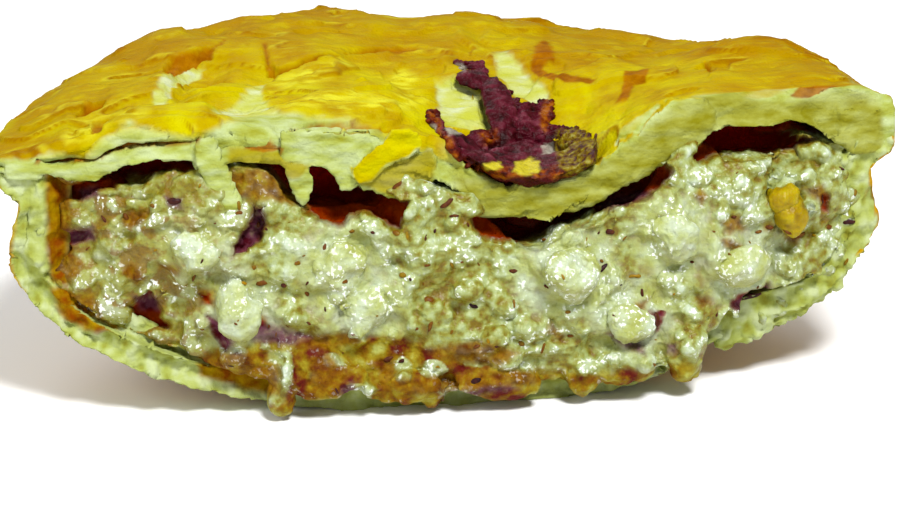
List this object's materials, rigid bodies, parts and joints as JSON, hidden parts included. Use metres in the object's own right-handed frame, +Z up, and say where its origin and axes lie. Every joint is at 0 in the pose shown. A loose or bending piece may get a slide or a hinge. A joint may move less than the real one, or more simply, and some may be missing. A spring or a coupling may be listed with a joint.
{
  "type": "chicken pie half",
  "caption": "Half of a round pie cut through its middle: flaky domed pastry lid with a burst vent, thin pastry case and a lumpy creamy chicken filling bulging at the cut.",
  "frame": {"origin": "under the middle of the half pie's box, on the surface that it stands on", "axes": "+X along the cut to the viewer's right, +Y from the cut face to the round back, +Z up"},
  "size_m": [0.1174, 0.0702, 0.04],
  "materials": {
    "pastry": "dry flaky baked pastry",
    "golden_pastry": "egg-glazed golden pastry, slightly glossy",
    "filling": "moist creamy sauce, glossy and lumpy",
    "chicken": "moist pale cooked meat",
    "carrot": "moist cooked carrot",
    "burnt": "dark burnt sauce, dry with glossy spots"
  },
  "bodies": {
    "root": {"pastry_case": "pastry", "pastry_lid": "golden_pastry", "filling": "filling", "chicken_1": "chicken", "chicken_2": "chicken", "chicken_3": "chicken", "chicken_4": "chicken", "chicken_5": "chicken", "chicken_6": "chicken", "chicken_7": "chicken", "carrot": "carrot", "burnt_filling": "burnt"}
  },
  "joints": []
}
